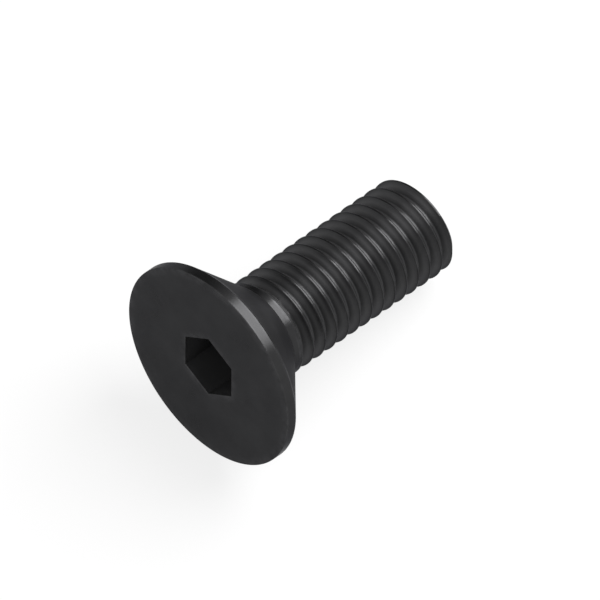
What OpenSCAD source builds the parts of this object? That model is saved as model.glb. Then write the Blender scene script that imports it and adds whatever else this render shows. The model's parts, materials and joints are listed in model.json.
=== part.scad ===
// Countersunk screw with a hexagon socket, in black steel.
// It is turned in one piece: flat head, straight rim, seat cone, short neck and
// a right-hand metric thread with one start, run to the head and chamfered at its end.
// The screw lies on a level surface, on the lower edge of its rim and the last crest of
// its thread. Its axis runs along +X and slopes down to the tip. Z = 0 is that surface.
// The three modules of form stand on their own axis, with the head face at z = 0.

/* [Thread] */
// Nominal thread diameter
thread_d = 10; // [8:0.5:12]
// Distance from one crest to the next, which is one turn
pitch = 1.5; // [1.25:0.05:1.75]
// Angle between the two flanks of the groove
flank_angle = 60; // [56:1:64]
// Width of the flat on the crest
crest_w = 0.1875; // [0.12:0.0025:0.25]
// Radius in the bottom of the groove
root_r = 0.2165; // [0.15:0.0005:0.25]
// How much the crests are under the nominal diameter
crest_play = 0.08; // [0.04:0.01:0.2]
// Turns over which the groove fades out towards the neck
runout_turns = 0.7; // [0.5:0.1:2]
// Azimuth where a crest lies at a whole number of pitches from the face
thread_turn = -36.5; // [-180:0.5:180]

/* [Head] */
// Diameter of the flat face
head_d = 20.8; // [18:0.1:24]
// Height of the straight rim
rim_h = 1.05; // [0.3:0.05:1.5]
// Full angle of the seat cone
seat_angle = 92; // [82:1:100]
// Length of the plain neck between the seat cone and the thread
neck_l = 0.55; // [0.3:0.05:1]
// Rounding of both edges of the rim
rim_edge = 0.1; // [0.05:0.01:0.12]
// Fillet between the seat cone and the neck
neck_fillet = 0.1; // [0.05:0.01:0.3]

/* [Socket] */
// Width across the flats of the socket
socket_af = 6; // [4:0.1:6.5]
// Depth of the flats from the face
socket_depth = 4.1; // [3:0.1:4.4]
// Angle of the point that the drill leaves below the flats
drill_angle = 120; // [110:1:150]
// Turn of the socket about the axis
socket_turn = 47.5; // [0:0.5:60]

/* [Length] */
// Overall length, head face to tip
length = 27; // [16:0.5:50]
// Size of the 45 degree chamfer on the tip
tip_chamfer = 0.4; // [0.2:0.05:0.9]

/* [Hidden] */

// Facets: steps of the helix in one turn, of a rounded edge, and round the true curves
turn_steps = 48;
edge_steps = 5;
$fn = 96;

// Black steel
finish = [0.19, 0.19, 0.2];

// Head, where the half angle of the seat is also the turn at its two edges
head_r = head_d / 2;
thread_r = thread_d / 2;
half_seat = seat_angle / 2;
seat_h = (head_r - thread_r) / tan(half_seat);
neck_z = rim_h + seat_h;
thread_z = neck_z + neck_l;
seat_edge_z = rim_h - rim_edge * tan(half_seat / 2);
neck_edge_z = neck_z + neck_fillet * tan(half_seat / 2);

// Socket: its sides, how far its cutter starts above the face, and its drill point
// above the floor
socket_sides = 6;
mouth_over = 1;
point_over = 0.01;

// Groove: where its flank meets the round root, and how deep the root is
crest_r = thread_r - crest_play / 2;
half_flank = flank_angle / 2;
root_half_w = root_r * cos(half_flank);
flank_run = pitch / 2 - crest_w / 2 - root_half_w;
flank_depth = flank_run / tan(half_flank);
root_depth = flank_depth + root_r * (1 - sin(half_flank));

// One pitch of the profile as [distance along the axis, depth under the crest],
// counted from the middle of a crest
profile = [
    [-crest_w / 2, 0],
    [crest_w / 2, 0],
    [pitch / 2 - root_half_w, flank_depth],
    [pitch / 2, root_depth],
    [pitch / 2 + root_half_w, flank_depth]
];
profile_n = len(profile);

// The helix starts inside the head and runs past the tip, which is then cut
first_turn = floor(neck_z / pitch) - 1;
last_turn = ceil(length / pitch) + 1;
turn_count = last_turn - first_turn;
step_count = turn_count * turn_steps;
fade_start = thread_z / pitch;

// Rest: the rounding between rim and seat cone and the last whole crest on the underside
// touch the surface, so the line under them is tangent to the circle of that rounding.
tip_r = crest_r - tip_chamfer;
chamfer_z = length - tip_chamfer;
underside_turn = -thread_turn / 360;
rest_turn = floor((chamfer_z - crest_w / 2) / pitch - underside_turn);
rest_crest_z = (rest_turn + underside_turn) * pitch + crest_w / 2;
rest_run = rest_crest_z - seat_edge_z;
rest_drop = head_r - rim_edge - crest_r;
rest_tilt = atan(rest_drop / rest_run) + asin(rim_edge / norm([rest_run, rest_drop]));
face_height = rest_crest_z * sin(rest_tilt) + crest_r * cos(rest_tilt);
head_end_x = rim_edge * (cos(rest_tilt) + sin(rest_tilt) - 1) - head_r * sin(rest_tilt);
tip_end_x = length * cos(rest_tilt) + tip_r * sin(rest_tilt);
middle_x = (head_end_x + tip_end_x) / 2;

// Points of an arc round a centre, from one angle to another
function arc(centre, radius, from, to) = [
    for (step = [0:edge_steps])
        let (angle = from + (to - from) * step / edge_steps)
        centre + radius * [cos(angle), sin(angle)]
];

// Share of the full depth that the groove has, by turns counted from the head face
function groove_share(turns) =
    max(0, min(1, (turns - fade_start) / runout_turns));

// Point of the helix at one step and one place of the profile
function helix_point(step, place) =
    let (
        turns = first_turn + step / turn_steps,
        along = pitch * turns + profile[place][0],
        share = groove_share(along / pitch),
        radius = crest_r - share * profile[place][1]
    )
    [radius * cos(360 * turns), radius * sin(360 * turns), along];

// Number of that point in the list of points
function at(step, place) = step * profile_n + place;

// Threaded rod: the profile goes round as one long strip, and each turn is joined to
// the next along its edge. A fan of triangles closes each end on the axis.
module threaded_rod() {
    points = [
        for (step = [0:step_count]) for (place = [0:profile_n - 1]) helix_point(step, place)
    ];
    start_middle = len(points);
    end_middle = start_middle + 1;
    last = profile_n - 1;

    strip = [
        for (step = [0:step_count - 1]) for (place = [0:last - 1])
            let (a = at(step, place), b = at(step + 1, place))
            for (face = [[a, a + 1, b + 1], [a, b + 1, b]]) face
    ];
    seam = [
        for (step = [0:step_count - turn_steps - 1])
            let (
                a = at(step, last),
                b = at(step + 1, last),
                c = at(step + 1 + turn_steps, 0),
                d = at(step + turn_steps, 0)
            )
            for (face = [[a, d, c], [a, c, b]]) face
    ];
    start_edge = concat(
        [for (step = [0:turn_steps]) at(step, 0)],
        [for (place = [last:-1:1]) at(0, place)]
    );
    end_edge = concat(
        [for (step = [step_count - turn_steps:step_count]) at(step, last)],
        [for (place = [last - 1:-1:0]) at(step_count, place)]
    );
    start_cap = [
        for (i = [0:len(start_edge) - 1])
            [start_middle, start_edge[i], start_edge[(i + 1) % len(start_edge)]]
    ];
    end_cap = [
        for (i = [0:len(end_edge) - 1])
            [end_middle, end_edge[(i + 1) % len(end_edge)], end_edge[i]]
    ];

    polyhedron(
        points = concat(
            points,
            [[0, 0, pitch * (first_turn + 0.5)]],
            [[0, 0, pitch * (last_turn + 0.5)]]
        ),
        faces = concat(strip, seam, start_cap, end_cap)
    );
}

// Form of the tip: everything inside the chamfer cone and short of the end face
module tip_form() {
    outer_r = crest_r + pitch;
    rotate_extrude()
        polygon([
            [0, 0],
            [outer_r, 0],
            [outer_r, length - (outer_r - tip_r)],
            [tip_r, length],
            [0, length]
        ]);
}

// Head with its rim, seat cone and neck
module head() {
    rotate_extrude()
        polygon(concat(
            [[0, 0]],
            arc([head_r - rim_edge, rim_edge], rim_edge, -90, 0),
            arc([head_r - rim_edge, seat_edge_z], rim_edge, 0, half_seat),
            arc([thread_r + neck_fillet, neck_edge_z], neck_fillet, 180 + half_seat, 180),
            [[thread_r, thread_z], [0, thread_z]]
        ));
}

// Hexagon socket, with the point of the drill below it
module socket() {
    point_r = socket_af / 2;
    rotate([0, 0, socket_turn])
        translate([0, 0, -mouth_over])
        cylinder(h = socket_depth + mouth_over, r = point_r / cos(180 / socket_sides), $fn = socket_sides);
    translate([0, 0, socket_depth - point_over])
        cylinder(h = point_r / tan(drill_angle / 2), r1 = point_r, r2 = 0);
}

module screw() {
    color(finish)
    translate([-middle_x, 0, face_height])
    rotate([0, 90 + rest_tilt, 0])
    difference() {
        union() {
            head();
            intersection() {
                rotate([0, 0, thread_turn]) threaded_rod();
                tip_form();
            }
        }
        socket();
    }
}

screw();
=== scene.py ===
# Countersunk screw with a hexagon socket, in black steel, lying on a pale studio floor.
# The screw is one surface of two parameters: the turn round its axis and the way along its outline.
import bpy
import json
import math
import numpy as np
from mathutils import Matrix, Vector


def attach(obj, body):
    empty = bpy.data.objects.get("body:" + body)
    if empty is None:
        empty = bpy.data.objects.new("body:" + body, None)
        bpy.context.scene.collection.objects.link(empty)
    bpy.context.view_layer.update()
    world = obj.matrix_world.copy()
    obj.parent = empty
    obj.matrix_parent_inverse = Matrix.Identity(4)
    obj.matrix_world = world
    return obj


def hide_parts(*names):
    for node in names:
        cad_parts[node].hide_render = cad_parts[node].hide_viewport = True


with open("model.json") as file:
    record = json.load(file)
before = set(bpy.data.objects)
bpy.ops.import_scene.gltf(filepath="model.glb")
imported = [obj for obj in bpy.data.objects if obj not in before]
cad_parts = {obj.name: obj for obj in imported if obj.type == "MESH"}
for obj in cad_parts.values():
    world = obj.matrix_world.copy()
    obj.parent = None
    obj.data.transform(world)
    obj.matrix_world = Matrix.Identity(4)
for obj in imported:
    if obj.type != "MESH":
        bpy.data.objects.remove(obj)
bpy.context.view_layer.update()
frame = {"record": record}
print("Frame loaded")

mm = 0.001

# Sizes and places that the frame gives, in millimetres
mounts = {mount["name"]: mount for mount in frame["record"]["mounts"]}
headR = mounts["head_rim"]["dims"]["r_mm"]
neckR = mounts["neck"]["dims"]["r_mm"]
socketR = mounts["hex_socket"]["dims"]["r_mm"]        # half the width across the flats
socketDepth = mounts["hex_socket"]["dims"]["length_mm"]
faceCentre = np.array(mounts["hex_socket"]["pos_m"]) / mm
tipCentre = np.array(mounts["tip_face"]["pos_m"]) / mm
coneCentre = np.array(mounts["seat_cone"]["pos_m"]) / mm
coneH = mounts["seat_cone"]["dims"]["length_mm"]
length = np.linalg.norm(tipCentre - faceCentre)
rimH = np.linalg.norm(coneCentre - faceCentre) - coneH / 2    # heights are counted from the face
neckZ = rimH + coneH
threadZ = length - mounts["thread"]["dims"]["length_mm"]
axis = (tipCentre - faceCentre) / length
down = np.array([axis[2], 0, -axis[0]])               # azimuth 0 on the screw points down
side = np.array([0, 1, 0])                            # azimuth 90 is world Y


# Screw
screw = {
    "columns": 192,          # steps round the axis, a multiple of 6 to meet the socket's corners
    "socketTurn": 47.5,      # azimuth of one corner of the socket, degrees
    "drillAngle": 120,       # point that the drill leaves under the flats
    "pitch": 1.5,
    "threadTurn": -36.5,     # azimuth where a crest lies at a whole number of pitches from the face
    "flankAngle": 60,
    "crestWidth": 0.1875,
    "crestRadius": 4.96,
    "crestCorner": 0.08,     # rounding on both corners of the crest
    "rootRadius": 0.2165,
    "fadeTurns": 0.7,        # turns past the neck over which the groove reaches its full depth
    "tipChamfer": 0.4,
    "mouthEdge": 0.05,       # rounding of the socket's mouth
    "rimEdge": 0.1,          # rounding of both edges of the rim
    "neckFillet": 0.1,       # fillet between seat cone and neck
    "support": 0.02,         # ring that keeps the shading flat beside a rounding
    "sharpAngle": 34,        # edges bent by more than this stay sharp
    "cornerSteps": 4,        # steps round a small rounding
    "rimEdgeSteps": 6,       # steps round the rim's edge at the face, which turns by 90 degrees
    "rootSteps": 3,          # steps from a flank to the bottom of the groove
    "drillPointSteps": 8,    # steps along each straight stretch
    "flatSteps": 7,
    "faceSteps": 9,
    "coneSteps": 11,         # also on the rim and the neck
    "endSteps": 7,
}


# Depth under the crest at a distance from the middle of the nearest crest: level, then a
# circle round the corner, a straight flank, and a circle in the root. The distance is folded,
# so the same half profile serves both flanks.
def grooveDepth(distance):
    s = screw
    halfFlank = math.radians(s["flankAngle"] / 2)
    fold = np.abs((distance + s["pitch"] / 2) % s["pitch"] - s["pitch"] / 2)
    cornerX = s["crestWidth"] / 2 - s["crestCorner"] * math.tan((math.pi / 2 - halfFlank) / 2)
    cornerEnd = cornerX + s["crestCorner"] * math.cos(halfFlank)
    rootHalf = s["rootRadius"] * math.cos(halfFlank)
    flankDepth = (s["pitch"] / 2 - s["crestWidth"] / 2 - rootHalf) / math.tan(halfFlank)
    rootMiddle = flankDepth - s["rootRadius"] * math.sin(halfFlank)
    corner = s["crestCorner"] - np.sqrt(np.maximum(s["crestCorner"]**2 - (fold - cornerX)**2, 0))
    flank = (fold - s["crestWidth"] / 2) / math.tan(halfFlank)
    root = rootMiddle + np.sqrt(np.maximum(s["rootRadius"]**2 - (s["pitch"] / 2 - fold)**2, 0))
    return np.select([fold < cornerX, fold < cornerEnd, fold < s["pitch"] / 2 - rootHalf],
                     [0 * fold, corner, flank], root)


# Places along one pitch, from the middle of a crest: both ends of the level crest, some steps
# round each corner, one on each flank and even steps round the root.
def pitchPlaces():
    s = screw
    halfFlank = math.radians(s["flankAngle"] / 2)
    cornerX = s["crestWidth"] / 2 - s["crestCorner"] * math.tan((math.pi / 2 - halfFlank) / 2)
    flankTurn = math.pi / 2 - halfFlank
    corner = cornerX + s["crestCorner"] * np.sin(np.linspace(0, flankTurn, s["cornerSteps"] + 1))
    root = s["pitch"] / 2 - s["rootRadius"] * np.sin(np.linspace(flankTurn, 0, s["rootSteps"] + 1)[:-1])
    half = np.concatenate([corner, [(corner[-1] + root[0]) / 2], root])
    return np.concatenate([[0], half, [s["pitch"] / 2], s["pitch"] - half[::-1]])


# Height of the crest at a turn, which rises by one pitch in one turn
def crestHeight(turn):
    return screw["pitch"] * (turn - screw["threadTurn"] / 360)


# Radius of the threaded rod at a height and a turn: the crest less the groove, which follows
# the crest round and fades in from the neck.
def rodRadius(height, turn):
    s = screw
    share = np.clip((height - threadZ) / s["pitch"] / s["fadeTurns"], 0, 1)
    return s["crestRadius"] - share * grooveDepth(height - crestHeight(turn))


# Radius of the chamfer's cone, which grows by as much as the height falls short of the end
def tipRadius(height):
    return screw["crestRadius"] - screw["tipChamfer"] + length - height


# Stations of the thread. Each runs along the helix, and those past the neck or the end face
# stay on that plane. Where the chamfer cuts the thread, the nearest station moves onto the cut.
def threadStations(turn):
    s = screw
    places = pitchPlaces()
    firstTurn = math.floor(threadZ / s["pitch"]) - 2
    lastTurn = math.ceil(length / s["pitch"]) + 1
    turns = np.arange(firstTurn, lastTurn)
    heights = (s["pitch"] * turns[:, None] + places[None, :]).reshape(-1, 1) + crestHeight(turn)
    heights = np.clip(heights, threadZ, length)
    proud = rodRadius(heights, turn) - tipRadius(heights)
    before, after = proud[:-1], proud[1:]
    cut = np.sign(before) * np.sign(after) < 0
    where = np.where(cut, before / np.where(cut, before - after, 1), 0)
    cutHeights = heights[:-1] + where * (heights[1:] - heights[:-1])
    heights[:-1] = np.where(cut & (where <= 0.5), cutHeights, heights[:-1])
    heights[1:] = np.where(cut & (where > 0.5), cutHeights, heights[1:])
    return heights, np.minimum(rodRadius(heights, turn), tipRadius(heights)), len(places)


# Points of a rounding between two straight lines of the outline, as (height, radius): a circle
# that touches both lines, met by one support point on each.
def roundedCorner(corner, before, after, radius, steps):
    corner, before, after = (np.array(p, dtype=float) for p in (corner, before, after))
    toBefore = (before - corner) / np.linalg.norm(before - corner)
    toAfter = (after - corner) / np.linalg.norm(after - corner)
    halfAngle = math.acos(np.clip(toBefore @ toAfter, -1, 1)) / 2
    reach = radius / math.tan(halfAngle)
    inward = (toBefore + toAfter) / np.linalg.norm(toBefore + toAfter)
    middle = corner + inward * radius / math.sin(halfAngle)
    sweep = math.pi - 2 * halfAngle
    start = corner + toBefore * reach - middle
    end = corner + toAfter * reach - middle
    share = np.linspace(0, 1, steps + 1)[:, None]
    arc = middle + (np.sin((1 - share) * sweep) * start + np.sin(share * sweep) * end) / math.sin(sweep)
    support = screw["support"]
    return np.vstack([arc[:1] + toBefore * support, arc, arc[-1:] + toAfter * support])


# The whole outline at every azimuth: arrays of heights and radii, stations by columns.
# A hexagon's radius is its half width over the cosine of the angle to the nearest flat.
def screwStations():
    s = screw
    degrees = s["socketTurn"] + np.arange(s["columns"]) * 360 / s["columns"]
    turn = degrees / 360
    toFlat = 1 / np.cos(np.radians((degrees - s["socketTurn"]) % 60 - 30))
    circle = np.ones(s["columns"])
    pointZ = socketDepth + socketR / math.tan(math.radians(s["drillAngle"] / 2))
    inner, outer = [], []

    # Drill point, flats and mouth of the socket: circle first, hexagon from the flats on
    for share in np.linspace(0, 1, s["drillPointSteps"] + 1):
        inner.append((pointZ + share * (socketDepth - pointZ), share * socketR * circle))
    inner.append((socketDepth, np.maximum(socketR * toFlat - s["support"], socketR)))
    flatsTop = 3 * s["mouthEdge"]
    for share in np.linspace(0, 1, s["flatSteps"] + 1):
        inner.append((socketDepth + share * (flatsTop - socketDepth), socketR * toFlat))
    steps = s["cornerSteps"]
    mouth = roundedCorner((0, socketR), (socketDepth, socketR), (0, headR), s["mouthEdge"], steps)
    inner += [(z, r * toFlat) for z, r in mouth]

    # Face, from the hexagon to the circle, then rim, seat cone and neck
    faceStart = mouth[-1][1] * toFlat
    faceEnd = headR - s["rimEdge"] - 2 * s["support"]
    for share in np.linspace(0, 1, s["faceSteps"] + 1)[1:]:
        outer.append((0, faceStart + share * (faceEnd - faceStart)))
    corners = [
        roundedCorner((0, headR), (0, 0), (rimH, headR), s["rimEdge"], s["rimEdgeSteps"]),
        roundedCorner((rimH, headR), (0, headR), (neckZ, neckR), s["rimEdge"], steps),
        roundedCorner((neckZ, neckR), (rimH, headR), (threadZ, neckR), s["neckFillet"], steps),
    ]
    outline = [corners[0]]
    for last, corner in zip(corners, corners[1:]):
        between = np.linspace(last[-1], corner[0], s["coneSteps"] + 1)[1:-1]
        outline += [between, corner]
    outline.append([(threadZ - s["support"], neckR), (threadZ, neckR)])
    outer += [(z, r * circle) for z, r in np.vstack(outline)]

    heights, radii, perPitch = threadStations(turn)
    first = [np.broadcast_to(z, s["columns"]) for z, r in inner + outer]
    firstR = [r for z, r in inner + outer]
    end = [radii[-1] * share for share in np.linspace(1, 0, s["endSteps"] + 1)[1:]]
    allHeights = np.vstack([first, heights, np.full((len(end), s["columns"]), length)])
    allRadii = np.vstack([firstR, radii, end])
    return degrees, allHeights, allRadii, len(inner), len(first), len(heights), perPitch


# Each station joins the next and each column the next. From the last column to the first, the
# thread has risen by one pitch, so its stations join those one pitch on.
def screwFaces(stations, columns, firstThread, threadCount, perPitch):
    station = np.arange(stations)
    after = station.copy()
    thread = slice(firstThread, firstThread + threadCount)
    after[thread] = np.minimum(station[thread] + perPitch, firstThread + threadCount - 1)
    grid = station[:, None] * columns + np.arange(columns)[None, :]
    nextGrid = np.hstack([grid[:, 1:], grid[after, :1]])
    a, b, c, d = grid[:-1], grid[1:], nextGrid[1:], nextGrid[:-1]
    lower = np.stack([a, d, b], axis=-1).reshape(-1, 3)
    upper = np.stack([b, d, c], axis=-1).reshape(-1, 3)
    return np.vstack([lower, upper])


# Where each finish lies, and the painted light and shade on the thread. Lengths are in millimetres, and
# depths are counted from the crest.
finish = {
    "socketReach": 0.3,      # from the mouth inwards, until the socket is fully matt
    "coneMatt": 0.35,        # how matt the seat cone is, from 0 to 1
    "coneReach": 0.3,        # from the rim on, and back from the neck, until the cone has that finish
    "flankDepths": (0.03, 0.15),    # where the flank's painted light starts and where it is full
    "rootDepths": (0.4, 0.9),       # the same for the painted shade in the root
    "rootShade": 0.5,        # how much of the flank's painted light the root loses, which is painted shade there
    "seamOffset": 0.06,      # from the middle of the crest to its seam, which sits towards the crest's edge as painted shade
    "seamHalfWidth": 0.035,
    "edgeReach": 0.2,        # how far from an edge it is rubbed, along the axis
    "rimReach": (0.4, 0.1),  # the same across the face: where it starts and where it is full
    "crestReach": 0.06,      # depth down to which the crest is rubbed
}


# Step from 0 to 1 that is level at both ends: three squares of the share less two of its cubes
def smoothStep(start, end, value):
    share = np.clip((value - start) / (end - start), 0, 1)
    return share * share * (3 - 2 * share)


# 1 on the seat cone, fading to 0 at the rim and at the neck. It places the painted shade on the cone
# and part of the cone's matt finish.
def coneShare(heights, station, firstOuter, firstThread):
    reach = finish["coneReach"]
    start = smoothStep(rimH, rimH + reach, heights)
    end = smoothStep(neckZ - reach, neckZ + screw["neckFillet"], heights)
    return np.where((station >= firstOuter) & (station < firstThread), start * (1 - end), 0)


# How matt the oxide is at each point, from 0 to 1: most in the socket, less on the seat cone
def mattShare(heights, station, firstOuter, firstThread):
    inSocket = np.where(station < firstOuter, smoothStep(0, finish["socketReach"], heights), 0)
    return inSocket + finish["coneMatt"] * coneShare(heights, station, firstOuter, firstThread)


# How much painted light the groove takes, from 0 on the crest to 1 down its flanks, and less in its
# root, which is painted shade there
def flankShare(heights, radii, station, firstThread):
    f = finish
    inThread = (station >= firstThread) & (heights < length - screw["tipChamfer"])
    depth = screw["crestRadius"] - radii
    share = smoothStep(*f["flankDepths"], depth) - f["rootShade"] * smoothStep(*f["rootDepths"], depth)
    return np.where(inThread, share, 0)


# The seam that thread rolling leaves along the crest, drawn on its head side where the crest turns
# down, so that it is also painted shade: a thin dark line, as a bell curve of the distance from it
def seamShadeShare(heights, turn, station, firstThread):
    s = screw
    distance = (heights - crestHeight(turn) + s["pitch"] / 2) % s["pitch"] - s["pitch"] / 2
    line = np.exp(-((distance + finish["seamOffset"]) / finish["seamHalfWidth"])**2)
    fade = np.clip((heights - threadZ) / s["pitch"] / s["fadeTurns"], 0, 1)
    return np.where((station >= firstThread) & (heights < length - s["tipChamfer"]), line * fade, 0)


# How rubbed each point is, from 0 to 1: most on the crests and on the edges of rim and mouth
def rubbedShare(heights, radii, station, firstOuter, firstThread):
    f = finish
    nearFace = 1 - smoothStep(0, f["edgeReach"], np.abs(heights))
    nearCone = 1 - smoothStep(0, f["edgeReach"], np.abs(heights - rimH))
    mouth = np.where(station < firstOuter, nearFace, 0)
    rimStart, rimFull = (headR - reach for reach in f["rimReach"])
    rimEdges = smoothStep(rimStart, rimFull, radii) * (nearFace + nearCone)
    onCrest = 1 - smoothStep(0, f["crestReach"], screw["crestRadius"] - radii)
    crest = np.where(station >= firstThread, onCrest, 0)
    return np.clip(mouth + rimEdges + crest, 0, 1)


# The screw's mesh. A point lies at its height along the axis from the face's centre, and at its
# radius from the axis in the direction of its azimuth. Points that meet are made one, and
# triangles that lose a corner by it are left out.
def makeScrew():
    degrees, heights, radii, firstOuter, firstThread, threadCount, perPitch = screwStations()
    angle = np.radians(degrees)
    x, y = radii * np.cos(angle), radii * np.sin(angle)
    points = faceCentre + x[..., None] * down + y[..., None] * side + heights[..., None] * axis
    points = np.round(points.reshape(-1, 3) * mm, 10) + 0.0
    points, place, number = np.unique(points, axis=0, return_index=True, return_inverse=True)
    faces = screwFaces(len(heights), screw["columns"], firstThread, threadCount, perPitch)
    faces = number.reshape(-1)[faces]
    p, q, r = faces.T
    faces = faces[(p != q) & (q != r) & (r != p)]
    mesh = bpy.data.meshes.new("screwBody")
    mesh.from_pydata(points.tolist(), [], faces.tolist())
    station = np.arange(len(heights))[:, None]
    shares = {
        "matt": mattShare(heights, station, firstOuter, firstThread),
        # The cone's share places its painted shade
        "cone": coneShare(heights, station, firstOuter, firstThread),
        # The flank's share places painted light in the grooves and painted shade in their roots
        "flank": flankShare(heights, radii, station, firstThread),
        # The seam's share places a rolling seam that is also painted shade under the crest
        "seam": seamShadeShare(heights, degrees / 360, station, firstThread),
        "rubbed": rubbedShare(heights, radii, station, firstOuter, firstThread),
    }
    for name, values in shares.items():
        attribute = mesh.attributes.new(name, "FLOAT", "POINT")
        attribute.data.foreach_set("value", values.reshape(-1)[place].astype(np.float32))
    mesh.validate()
    mesh.shade_smooth()
    mesh.set_sharp_from_angle(angle=math.radians(screw["sharpAngle"]))
    body = bpy.data.objects.new("screwBody", mesh)
    bpy.context.collection.objects.link(body)
    print("Screw:", len(points), "points and", len(mesh.polygons), "triangles")
    return body


# Black steel: blackened metal, matt in the socket, with painted shade that darkens the seat cone and
# painted light that lightens the flanks of the thread, lighter where it is rubbed, and a dark seam
# along the crest that is partly painted shade
blackSteel = {
    "steelColor": (0.037, 0.037, 0.038, 1),
    # Painted shade: the seat cone's colour is darker, which dims its gloss and its reflections
    "coneColor": (0.025, 0.025, 0.026, 1),
    # Painted light: the flanks take a lighter colour, which lifts the shade in the grooves of the
    # thread
    "flankColor": (0.084, 0.084, 0.086, 1),
    "rubbedColor": (0.075, 0.075, 0.078, 1),
    # A real rolling seam, placed on the crest's edge as painted shade
    "seamColor": (0.012, 0.012, 0.012, 1),
    "edgeTint": (0.5, 0.5, 0.51, 1),
    "metal": 0.88,              # the rest is the oxide's own diffuse colour
    "mattMetal": 0.1,
    "flankMetal": 0.92,
    "anisotropy": 0.85,         # the tool's marks run round the axis and spread the gloss along it
    "roughness": 0.3,
    "mattRoughness": 0.55,
    "flankRoughness": 0.44,
    "mottleScale": 320,         # blotches of about 3 mm
    "mottleDetail": 5,
    "mottleDepth": 0.1,         # how much they lighten and darken the colour
    "mottleRoughness": 0.03,    # and how much rougher and smoother they are
    "mottleRange": (0.3, 0.7),  # the noise's values that give the least and the most of it
    "grainScale": 5500,         # grain of about 0.2 mm
    "grainDetail": 2,
    "grainHeight": 0.0000012,
    "wearScale": 1100,          # patches of about 1 mm
    "wearDetail": 4,
    "wearRange": (0.35, 0.65),  # the noise's values where the wear starts and is full
    "wearDepth": 0.45,          # how much of the rubbed colour shows at most
    "wearPolish": 0.06,         # how much smoother the rubbed metal is
    "noiseRoughness": 0.55,
}


# One node with its values and links. A value that is a socket is linked, any other is set.
def addNode(tree, kind, values, **settings):
    node = tree.nodes.new(kind)
    for name, value in settings.items():
        setattr(node, name, value)
    for name, value in values.items():
        if isinstance(value, bpy.types.NodeSocket):
            tree.links.new(value, node.inputs[name])
        else:
            node.inputs[name].default_value = value
    return node


# One of the shares from 0 to 1 that the screw's mesh carries
def pointShare(tree, name):
    return addNode(tree, "ShaderNodeAttribute", {}, attribute_name=name).outputs["Fac"]


# A number from one range turned into another
def mapped(tree, value, fromRange, toRange):
    ranges = {"Value": value, "From Min": fromRange[0], "From Max": fromRange[1],
              "To Min": toRange[0], "To Max": toRange[1]}
    return addNode(tree, "ShaderNodeMapRange", ranges).outputs[0]


# One of the material's noises, by the name that its values start with
def noise(tree, place, kind):
    b = blackSteel
    values = {"Vector": place, "Scale": b[kind + "Scale"], "Detail": b[kind + "Detail"],
              "Roughness": b["noiseRoughness"]}
    return addNode(tree, "ShaderNodeTexNoise", values).outputs[0]


def mathNode(tree, operation, first, second):
    return addNode(tree, "ShaderNodeMath", {0: first, 1: second}, operation=operation).outputs[0]


def vectorNode(tree, operation, values):
    return addNode(tree, "ShaderNodeVectorMath", values, operation=operation).outputs[0]


def mixColor(tree, share, first, second):
    return addNode(tree, "ShaderNodeMix", {0: share, 6: first, 7: second}, data_type="RGBA").outputs[2]


def makeBlackSteel():
    b = blackSteel
    material = bpy.data.materials.new("blackSteel")
    material.use_nodes = True
    tree = material.node_tree
    shader = tree.nodes["Principled BSDF"]
    place = addNode(tree, "ShaderNodeTexCoord", {}).outputs["Object"]
    matt = pointShare(tree, "matt")
    cone = pointShare(tree, "cone")
    flank = pointShare(tree, "flank")
    seam = pointShare(tree, "seam")
    rubbed = pointShare(tree, "rubbed")
    mottle = noise(tree, place, "mottle")
    grain = noise(tree, place, "grain")
    patchy = mapped(tree, noise(tree, place, "wear"), b["wearRange"], (0, b["wearDepth"]))
    wear = mathNode(tree, "MULTIPLY", rubbed, patchy)

    # Colour: steel, with painted shade on the cone or painted light on the flanks, mottled, then
    # rubbed, then the seam, partly painted shade, over it
    # Painted shade: the seat cone takes the darker colour
    steel = mixColor(tree, cone, b["steelColor"], b["coneColor"])
    # Painted light on the flanks of the thread
    oxide = mixColor(tree, flank, steel, b["flankColor"])
    level = mapped(tree, mottle, b["mottleRange"], (1 - b["mottleDepth"], 1 + b["mottleDepth"]))
    mottled = vectorNode(tree, "SCALE", {0: oxide, "Scale": level})
    # The seam, partly painted shade, goes over all
    color = mixColor(tree, seam, mixColor(tree, wear, mottled, b["rubbedColor"]), b["seamColor"])

    # Metal and roughness: the steel's own value, plus what matt, flank, mottle and wear add to it
    whole = (0, 1)
    metal = mathNode(tree, "ADD", mapped(tree, matt, whole, (b["metal"], b["mattMetal"])),
                     mapped(tree, flank, whole, (0, b["flankMetal"] - b["metal"])))
    satin = mathNode(tree, "ADD", mapped(tree, matt, whole, (b["roughness"], b["mattRoughness"])),
                     mapped(tree, flank, whole, (0, b["flankRoughness"] - b["roughness"])))
    spread = (-b["mottleRoughness"], b["mottleRoughness"])
    uneven = mathNode(tree, "ADD", satin, mapped(tree, mottle, b["mottleRange"], spread))
    roughness = mathNode(tree, "ADD", uneven, mapped(tree, wear, whole, (0, -b["wearPolish"])))
    bump = addNode(tree, "ShaderNodeBump", {"Height": grain, "Distance": b["grainHeight"]})

    # The tool's marks run square to the axis and to the surface's normal
    facing = addNode(tree, "ShaderNodeNewGeometry", {}).outputs["Normal"]
    roundAxis = vectorNode(tree, "CROSS_PRODUCT", {0: tuple(axis), 1: facing})

    for name, socket in (("Base Color", color), ("Metallic", metal), ("Roughness", roughness),
                         ("Normal", bump.outputs[0]), ("Tangent", roundAxis)):
        tree.links.new(socket, shader.inputs[name])
    shader.inputs["Anisotropic"].default_value = b["anisotropy"]
    shader.inputs["Anisotropic Rotation"].default_value = 0.25    # a quarter turn, from round to along
    shader.inputs["Specular Tint"].default_value = b["edgeTint"]
    shader.inputs["Specular IOR Level"].default_value = 0
    return material


screwBody = makeScrew()
screwBody.data.materials.append(makeBlackSteel())
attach(screwBody, "root")
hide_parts("screw")


# Floor: pale paper, which the camera and the reflections see mostly as plain white
floorValues = {"width": 4.0, "color": (0.88, 0.88, 0.88, 1), "seenWhite": 0.8}


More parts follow.
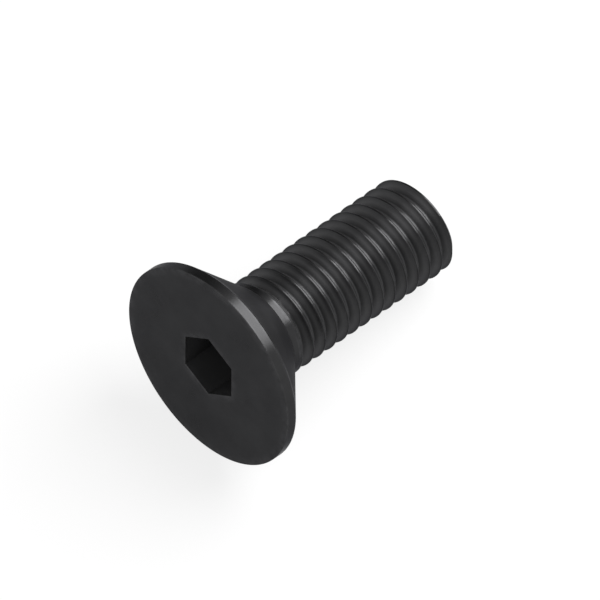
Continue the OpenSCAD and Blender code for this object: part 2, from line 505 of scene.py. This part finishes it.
def makeFloor():
    half = floorValues["width"] / 2
    mesh = bpy.data.meshes.new("studioFloor")
    corners = [(-half, -half, 0), (half, -half, 0), (half, half, 0), (-half, half, 0)]
    mesh.from_pydata(corners, [], [(0, 1, 2, 3)])
    floor = bpy.data.objects.new("studioFloor", mesh)
    bpy.context.collection.objects.link(floor)
    material = bpy.data.materials.new("palePaper")
    material.use_nodes = True
    tree = material.node_tree
    shader = tree.nodes["Principled BSDF"]
    shader.inputs["Base Color"].default_value = floorValues["color"]
    shader.inputs["Roughness"].default_value = 1
    shader.inputs["Specular IOR Level"].default_value = 0
    path = addNode(tree, "ShaderNodeLightPath", {})
    seen = mathNode(tree, "MAXIMUM", path.outputs["Is Camera Ray"], path.outputs["Is Glossy Ray"])
    share = mathNode(tree, "MULTIPLY", seen, floorValues["seenWhite"])
    white = addNode(tree, "ShaderNodeEmission", {"Color": (1, 1, 1, 1), "Strength": 1})
    both = addNode(tree, "ShaderNodeMixShader", {0: share, 1: shader.outputs[0], 2: white.outputs[0]})
    tree.links.new(both.outputs[0], tree.nodes["Material Output"].inputs["Surface"])
    mesh.materials.append(material)
    return floor


makeFloor()


# World, which the camera and the reflections see as plain white, and lamps
world = {"seen": 1.0, "light": 0.28}
lamps = [
    {"name": "keyBox", "azimuth": -16.5, "elevation": 52, "distance": 0.6,
     "width": 0.53, "height": 0.44, "radiance": 7.4},
    {"name": "fillBox", "azimuth": 182, "elevation": 52, "distance": 0.7,
     "width": 0.5, "height": 0.4, "radiance": 1.2},
]
flag = {"azimuth": 54, "elevation": 20, "distance": 0.5, "width": 0.42, "height": 0.36,
        "color": (0.02, 0.02, 0.02, 1)}


def makeWorld():
    sky = bpy.data.worlds.new("studio")
    bpy.context.scene.world = sky
    sky.use_nodes = True
    tree = sky.node_tree
    path = addNode(tree, "ShaderNodeLightPath", {})
    seen = mathNode(tree, "MAXIMUM", path.outputs["Is Camera Ray"], path.outputs["Is Glossy Ray"])
    strength = mapped(tree, seen, (0, 1), (world["light"], world["seen"]))
    tree.nodes["Background"].inputs["Color"].default_value = (1, 1, 1, 1)
    tree.links.new(strength, tree.nodes["Background"].inputs["Strength"])


# A lamp stands off from the screw in a direction given by its azimuth from +X and its elevation
def makeLamp(values):
    azimuth, elevation = math.radians(values["azimuth"]), math.radians(values["elevation"])
    out = Vector((math.cos(azimuth) * math.cos(elevation), math.sin(azimuth) * math.cos(elevation),
                  math.sin(elevation)))
    data = bpy.data.lights.new(values["name"], "AREA")
    data.shape = "RECTANGLE"
    data.size, data.size_y = values["width"], values["height"]
    data.energy = values["radiance"] * math.pi * values["width"] * values["height"]
    lamp = bpy.data.objects.new(values["name"], data)
    lamp.location = out * values["distance"]
    lamp.rotation_mode = "QUATERNION"
    lamp.rotation_quaternion = out.to_track_quat("Z", "Y")
    lamp.visible_camera = False
    bpy.context.collection.objects.link(lamp)


# A black flag that only reflections show, which puts a dark band beside the bright one
def makeFlag():
    azimuth, elevation = math.radians(flag["azimuth"]), math.radians(flag["elevation"])
    out = np.array([math.cos(azimuth) * math.cos(elevation), math.sin(azimuth) * math.cos(elevation),
                    math.sin(elevation)])
    right = np.array([-math.sin(azimuth), math.cos(azimuth), 0])
    up = np.cross(out, right)
    corners = [out * flag["distance"] + right * flag["width"] * u + up * flag["height"] * v
               for u, v in ((-0.5, -0.5), (0.5, -0.5), (0.5, 0.5), (-0.5, 0.5))]
    mesh = bpy.data.meshes.new("blackFlag")
    mesh.from_pydata([tuple(corner) for corner in corners], [], [(0, 1, 2, 3)])
    card = bpy.data.objects.new("blackFlag", mesh)
    bpy.context.collection.objects.link(card)
    material = bpy.data.materials.new("blackCloth")
    material.use_nodes = True
    shader = material.node_tree.nodes["Principled BSDF"]
    shader.inputs["Base Color"].default_value = flag["color"]
    shader.inputs["Roughness"].default_value = 1
    mesh.materials.append(material)
    card.visible_camera = False
    card.visible_diffuse = False
    card.visible_shadow = False


makeWorld()
makeFlag()
for values in lamps:
    makeLamp(values)


# Camera: a parallel view. The middle of the picture lies to the right of and above the face's centre.
camera = {
    "azimuth": -43.23,
    "elevation": 61.73,
    "distance": 0.3,
    "frameWidth": 0.05506,
    "right": 0.008426,
    "up": 0.006111,
}


def makeCamera():
    azimuth, elevation = math.radians(camera["azimuth"]), math.radians(camera["elevation"])
    right = Vector((math.cos(azimuth), math.sin(azimuth), 0))
    back = Vector((math.sin(azimuth) * math.cos(elevation), -math.cos(azimuth) * math.cos(elevation),
                   math.sin(elevation)))
    up = back.cross(right)
    data = bpy.data.cameras.new("camera")
    data.type = "ORTHO"
    data.ortho_scale = camera["frameWidth"]
    data.clip_start, data.clip_end = 0.01, 10
    eye = bpy.data.objects.new("camera", data)
    middle = Vector(faceCentre * mm) + right * camera["right"] + up * camera["up"]
    eye.location = middle + back * camera["distance"]
    eye.rotation_mode = "QUATERNION"
    eye.rotation_quaternion = (-back).to_track_quat("-Z", "Y")
    bpy.context.collection.objects.link(eye)
    bpy.context.scene.camera = eye


makeCamera()
bpy.context.scene.view_settings.view_transform = "Standard"
print("Floor, lamps and camera in place")
